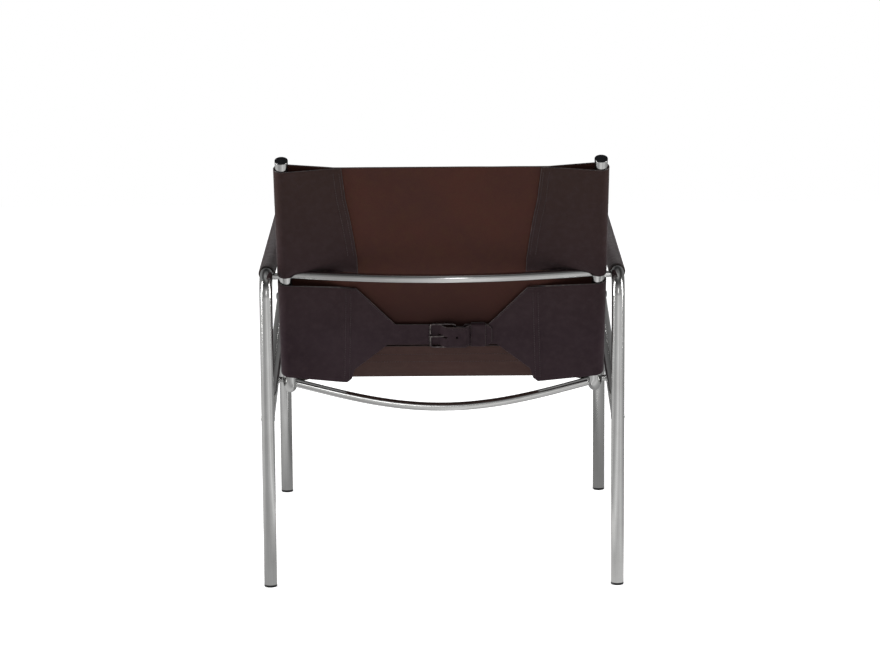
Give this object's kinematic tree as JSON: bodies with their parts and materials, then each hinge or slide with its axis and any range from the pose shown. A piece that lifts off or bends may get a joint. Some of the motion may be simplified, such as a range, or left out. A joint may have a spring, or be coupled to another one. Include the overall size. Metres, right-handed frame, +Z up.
{
  "type": "sling lounge chair",
  "caption": "Leather sling lounge chair on chromed steel tube: side frames with leather armrests, bowed crossbars and buckled leather belts behind the back and under the seat.",
  "frame": {"origin": "on the floor, under the middle of the chair's box", "axes": "+Z up from the floor, +X to the chair's left, -Y the way the sitter faces"},
  "size_m": [0.6722, 0.805, 0.8077],
  "materials": {
    "chrome": "satin chrome plated steel tube and bar",
    "black_plastic": "black moulded plastic",
    "panel_leather": "dark brown saddle leather, seen on its rougher inner side between the flaps",
    "grain_leather": "nearly black saddle leather, smooth grain side out",
    "dark_metal": "dark burnished steel wire"
  },
  "bodies": {
    "frame": {"side_frame_left": "chrome", "side_frame_right": "chrome", "side_rail_left": "chrome", "side_rail_right": "chrome", "sling_tube_left": "chrome", "sling_tube_right": "chrome", "arm_spacer_left": "chrome", "arm_spacer_right": "chrome", "rear_spacer_left": "chrome", "rear_spacer_right": "chrome", "front_spacer_left": "chrome", "front_spacer_right": "chrome", "frame_bolt_left": "chrome", "frame_bolt_right": "chrome", "back_crossbar": "chrome", "rear_crossbar": "chrome", "front_crossbar": "chrome", "bolt_cap_left": "black_plastic", "bolt_cap_right": "black_plastic", "post_cap_left": "black_plastic", "post_cap_right": "black_plastic", "rail_cap_left": "black_plastic", "rail_cap_right": "black_plastic", "foot_glide_rear_left": "black_plastic", "foot_glide_rear_right": "black_plastic", "foot_glide_front_left": "black_plastic", "foot_glide_front_right": "black_plastic", "back_panel": "panel_leather", "seat_panel": "panel_leather", "back_belt_tongue": "grain_leather", "back_belt_strap": "grain_leather", "back_belt_keeper": "grain_leather", "seat_belt_tongue": "grain_leather", "seat_belt_strap": "grain_leather", "seat_belt_keeper": "grain_leather", "arm_sleeve_left": "grain_leather", "arm_sleeve_right": "grain_leather"},
    "back_buckle": {"back_buckle_frame": "dark_metal"},
    "back_prong": {"back_buckle_prong": "dark_metal"},
    "seat_buckle": {"seat_buckle_frame": "dark_metal"},
    "seat_prong": {"seat_buckle_prong": "dark_metal"}
  },
  "joints": [
    {"name": "back_buckle_turn", "type": "hinge", "parent": "frame", "child": "back_buckle", "pos_m": [-0.024, 0.24507, 0.45229], "axis": [0, 0.4067, 0.9135], "range_deg": [0, 4]},
    {"name": "back_prong_turn", "type": "hinge", "parent": "back_buckle", "child": "back_prong", "pos_m": [-0.024, 0.24507, 0.45229], "axis": [0, 0.4067, 0.9135], "range_deg": [0, 3]},
    {"name": "seat_buckle_turn", "type": "hinge", "parent": "frame", "child": "seat_buckle", "pos_m": [-0.024, -0.06133, 0.34555], "axis": [0, 0.9924, -0.123], "range_deg": [0, 4]},
    {"name": "seat_prong_turn", "type": "hinge", "parent": "seat_buckle", "child": "seat_prong", "pos_m": [-0.024, -0.06133, 0.34555], "axis": [0, 0.9924, -0.123], "range_deg": [0, 3]}
  ]
}
